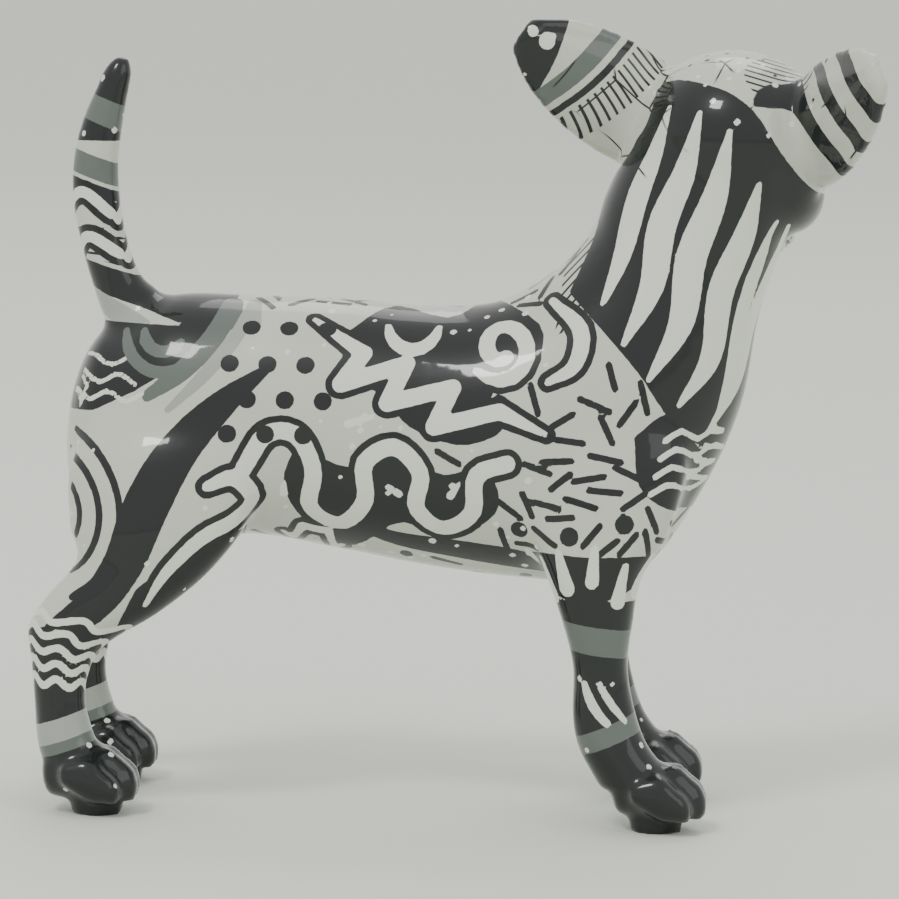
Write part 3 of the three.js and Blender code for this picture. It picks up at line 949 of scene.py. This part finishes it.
# Cast polyester resin, printed in flat ink colours and dipped in clear gloss lacquer: deep even blacks,
# crisp edges that waver a little, and long soft highlights broken by the lacquer's ripple.
lacqueredResin = {
    "pale": "c4c7bc",
    "paleShade": "babdb1",
    "mottle": 16.0,         # mm from one shade of the pale ground to the next
    "night": "131819",
    "ash": "5c635f",
    "mist": "9a9f98",
    "chalk": "d6d9cf",
    "ink": "131819",
    "edge": 0.055,          # mm over which one ink gives way to the next
    "waver": 0.16,          # mm that an edge wanders
    "waverSize": 1.6,       # mm from one bump of an edge to the next
    "ribbonLine": 1.6,      # mm of black round each ribbon
    "hatchPitch": 1.9,      # mm from one fine line to the next
    "hatchLine": 0.62,      # mm that the line is wide
    "ripple": 7.0,          # mm from one ripple of the lacquer to the next
    "rippleHeight": 0.25,   # mm
    "rippleStrength": 0.35,
    "roughness": 0.32,
    "ior": 1.25,
    "coatRoughness": 0.05,
    "coatIor": 1.4,
    "crackCell": 13.0,      # mm from one painted crack to the next, on the head
    "crackLine": 0.022,     # half width as a share of the cell
    "crackPatch": 30.0,     # mm from one cracked patch to the next
    "crackShare": (0.55, 0.58),
    "crackFrom": 138.0,     # mm above the floor
    "crackFade": 12.0,
}


def makeLacqueredResin(spec):
    material, tree = newMaterial("lacqueredPrintedResin")
    place = add(tree, "ShaderNodeTexCoord").outputs["Object"]

    def noise(size, detail, roughness=0.5):
        return add(tree, "ShaderNodeTexNoise", Vector=place, Scale=1 / (size * mm), Detail=detail,
                   Roughness=roughness).outputs["Fac"]

    def maths(operation, *values):
        inputs = {f"in{k}": value for k, value in enumerate(values)}
        return add(tree, "ShaderNodeMath", {"operation": operation}, **inputs).outputs[0]

    def mixed(amount, first, second):
        return add(tree, "ShaderNodeMix", {"data_type": "RGBA"}, in0=amount, in6=first, in7=second).outputs[2]

    def between(value, low, high):
        return add(tree, "ShaderNodeMapRange", Value=value, From_Min=low, From_Max=high).outputs[0]

    def attribute(name):
        return add(tree, "ShaderNodeAttribute", {"attribute_name": name}).outputs["Fac"]

    shift = maths("MULTIPLY_ADD", noise(spec["waverSize"], 2.0), 2 * spec["waver"], -spec["waver"])
    colour = mixed(noise(spec["mottle"], 3.0, 0.55), linear(spec["pale"]), linear(spec["paleShade"]))

    def over(colour, name, ink, grow):
        wavy = maths("ADD", attribute(name), shift)
        if name == "hatch":
            saw = maths("PINGPONG", attribute("run"), spec["hatchPitch"] / 2)
            wavy = maths("MAXIMUM", wavy, maths("SUBTRACT", saw, spec["hatchLine"] / 2))
        mask = between(wavy, grow + spec["edge"], grow - spec["edge"])
        return mixed(mask, colour, linear(spec[ink]))

    # the layers from the lowest up, with the ink of each and how far it grows past its strokes
    for name, ink, grow in (("night", "night", 0), ("ash", "ash", 0), ("mist", "mist", 0),
                            ("hatch", "ink", 0), ("ribbon", "ink", spec["ribbonLine"]),
                            ("ribbon", "chalk", 0), ("ink", "ink", 0), ("chalk", "chalk", 0),
                            ("smoke", "ash", 0)):
        colour = over(colour, name, ink, grow)
    cells = add(tree, "ShaderNodeTexVoronoi", {"feature": "DISTANCE_TO_EDGE"}, Vector=place,
                Scale=1 / (spec["crackCell"] * mm))
    crack = between(cells.outputs["Distance"], spec["crackLine"], spec["crackLine"] * 0.5)
    some = between(noise(spec["crackPatch"], 1.0), *spec["crackShare"])
    height = add(tree, "ShaderNodeSeparateXYZ", Vector=place).outputs["Z"]
    high = between(height, spec["crackFrom"] * mm, (spec["crackFrom"] + spec["crackFade"]) * mm)
    crack = maths("MULTIPLY", maths("MULTIPLY", some, high), crack)
    colour = mixed(crack, colour, linear(spec["ink"]))
    bump = add(tree, "ShaderNodeBump", Strength=spec["rippleStrength"], Distance=spec["rippleHeight"] * mm,
               Height=noise(spec["ripple"], 2.0, 0.4)).outputs[0]
    shader = add(tree, "ShaderNodeBsdfPrincipled", Base_Color=colour, Roughness=spec["roughness"],
                 IOR=spec["ior"], Coat_Weight=1.0, Coat_Roughness=spec["coatRoughness"],
                 Coat_IOR=spec["coatIor"], Normal=bump, Coat_Normal=bump)
    add(tree, "ShaderNodeOutputMaterial", Surface=shader.outputs[0])
    return material


dog.data.materials.append(makeLacqueredResin(lacqueredResin))
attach(dog, "root")
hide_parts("dog")
print("lacquer made")

# The photograph's camera: from the dog's right side, a little above it, with the frame turned slightly.
photoCamera = {
    "target": (0.0, 0.0, 85.15),
    "azimuth": 4.0,
    "elevation": 6.5,
    "roll": 1.1,
    "distance": 1030.0,
    "focalPixels": 4377.5,
    "imagePixels": 899.0,
    "sensor": 36.0,
}


def addCamera(spec):
    a, e, r = (math.radians(spec[key]) for key in ("azimuth", "elevation", "roll"))
    back = Vector((math.sin(a) * math.cos(e), -math.cos(a) * math.cos(e), math.sin(e)))
    level = Vector((math.cos(a), math.sin(a), 0))
    up = back.cross(level)
    acrossView = level * math.cos(r) + up * math.sin(r)
    upView = up * math.cos(r) - level * math.sin(r)
    target = Vector(spec["target"]) + Vector((*dogBody["drawingAt"], 0))
    data = bpy.data.cameras.new("photoCamera")
    data.sensor_width = spec["sensor"]
    data.lens = spec["sensor"] * spec["focalPixels"] / spec["imagePixels"]
    camera = bpy.data.objects.new("photoCamera", data)
    turn = Matrix((acrossView, upView, back)).transposed().to_4x4()
    camera.matrix_world = Matrix.Translation((target + back * spec["distance"]) * mm) @ turn
    bpy.context.scene.collection.objects.link(camera)
    bpy.context.scene.camera = camera


addCamera(photoCamera)

studio = {
    "floorSize": 40.0,
    "floor": "dee2d9",
    "floorRoughness": 0.7,
    "world": (0.99, 1.0, 0.965),
    "worldStrength": 1.04,
    "lightsAim": (0, 0, 0.09),
    # name, place, size, power and colour of each soft light
    "lights": [
        ("keySoftbox", (-0.7, -1.3, 1.9), 0.5, 20.0, (1, 1, 0.98)),
        ("fillSoftbox", (1.6, -1.2, 1.2), 1.2, 6.0, (0.97, 1, 0.99)),
        ("topSoftbox", (0.2, 1.4, 2.2), 1.2, 10.0, (1, 1, 1)),
    ],
}


def addStudio(spec):
    floorMesh = bpy.data.meshes.new("studioFloor")
    bm = bmesh.new()
    bmesh.ops.create_grid(bm, x_segments=1, y_segments=1, size=spec["floorSize"])
    bm.to_mesh(floorMesh)
    bm.free()
    floor = bpy.data.objects.new("studioFloor", floorMesh)
    bpy.context.scene.collection.objects.link(floor)
    material, tree = newMaterial("mattPaper")
    shader = add(tree, "ShaderNodeBsdfPrincipled", Base_Color=linear(spec["floor"]),
                 Roughness=spec["floorRoughness"])
    add(tree, "ShaderNodeOutputMaterial", Surface=shader.outputs[0])
    floorMesh.materials.append(material)
    world = bpy.data.worlds.new("studioAir")
    world.use_nodes = True
    air = world.node_tree.nodes["Background"]
    air.inputs["Color"].default_value = (*spec["world"], 1)
    air.inputs["Strength"].default_value = spec["worldStrength"]
    bpy.context.scene.world = world
    for name, at, size, power, colour in spec["lights"]:
        data = bpy.data.lights.new(name, "AREA")
        data.size = size
        data.energy = power
        data.color = colour
        light = bpy.data.objects.new(name, data)
        light.location = at
        light.rotation_euler = (Vector(at) - Vector(spec["lightsAim"])).to_track_quat("Z", "Y").to_euler()
        bpy.context.scene.collection.objects.link(light)


addStudio(studio)
print("camera and studio set")
